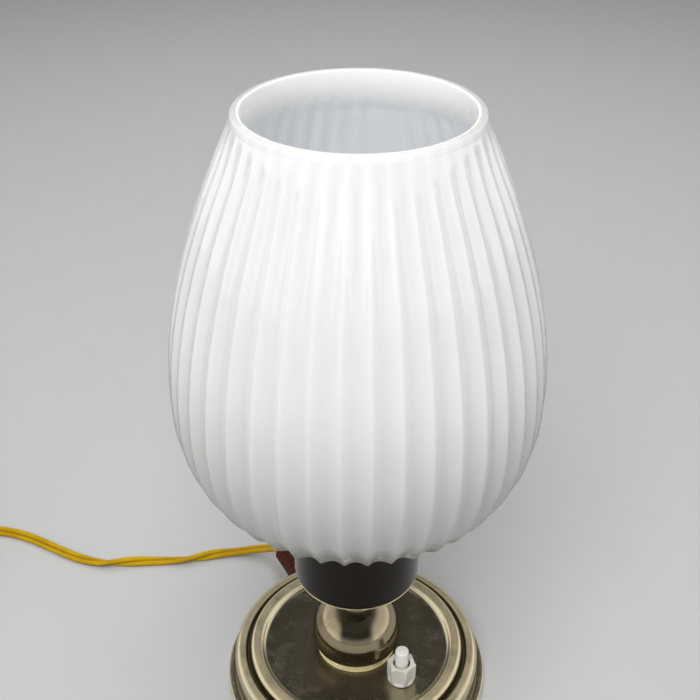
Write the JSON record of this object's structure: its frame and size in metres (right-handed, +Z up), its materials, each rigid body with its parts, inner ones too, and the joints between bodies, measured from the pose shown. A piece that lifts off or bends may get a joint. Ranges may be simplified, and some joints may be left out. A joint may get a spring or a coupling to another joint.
{
  "type": "table lamp",
  "caption": "Table lamp with a pleated opal glass shade open at the top, on a cup, ball stem and beaded round metal foot with a push switch and flat twin flex.",
  "frame": {"origin": "centre of the foot, on the surface that the lamp stands on", "axes": "+Z up along the stem, -Y towards the front, +X to the right seen from the front"},
  "size_m": [0.3608, 0.2516, 0.287],
  "materials": {
    "plated_metal": "worn nickel plate over brass, with fine pits and scratches",
    "brass": "bright brass",
    "steel": "zinc-plated steel",
    "iron": "rough cast iron",
    "felt": "pressed felt",
    "rubber": "matt rubber",
    "sleeve_rubber": "aged red-brown rubber",
    "opal_glass": "cased opal glass, clear over white, glossy",
    "bulb_glass": "soft white bulb glass",
    "bulb_metal": "stamped aluminium",
    "bakelite": "moulded dark resin",
    "porcelain": "glazed porcelain",
    "white_plastic": "moulded warm white plastic",
    "flex_yellow": "aged yellow PVC",
    "lead_brown": "PVC insulation",
    "lead_black": "PVC insulation",
    "lead_blue": "PVC insulation",
    "tie_plastic": "soft plastic",
    "plug_plastic": "moulded cream plastic",
    "plug_metal": "nickel-plated brass"
  },
  "bodies": {
    "lamp": {"base_shell": "plated_metal", "base_weight": "iron", "bottom_plate": "steel", "felt_pad": "felt", "stem_tube": "steel", "stem_nut": "steel", "stem_washer": "steel", "stem_collar": "brass", "stem_knob": "plated_metal", "stem_neck": "plated_metal", "shade_cup": "plated_metal", "cup_locknut": "steel", "cup_gasket": "rubber", "glass_shade": "opal_glass", "shade_ring": "bakelite", "lampholder_cap": "bakelite", "lampholder_shell": "bakelite", "lampholder_insert": "porcelain", "screw_shell": "brass", "centre_contact": "brass", "terminal_screws": "brass", "bulb_glass": "bulb_glass", "bulb_cap": "bulb_metal", "bulb_base": "bakelite", "bulb_contact": "brass", "switch_body": "bakelite", "switch_base": "bakelite", "switch_nut": "white_plastic", "switch_spring": "steel", "switch_terminals": "brass", "cord_sleeve": "sleeve_rubber", "live_lead": "lead_brown", "switched_lead": "lead_black", "neutral_lead": "lead_blue", "mains_cord": "flex_yellow", "cord_coil": "flex_yellow", "cord_tie": "tie_plastic", "plug_body": "plug_plastic", "plug_pins": "plug_metal"},
    "button": {"switch_button": "white_plastic"}
  },
  "joints": [
    {"name": "button_press", "type": "slide", "parent": "lamp", "child": "button", "axis": [0, 0, -1], "range_m": [0, 0.0025], "stiffness_N_per_m": 300, "springref_m": -0.003, "deforming": ["switch_spring"]}
  ]
}
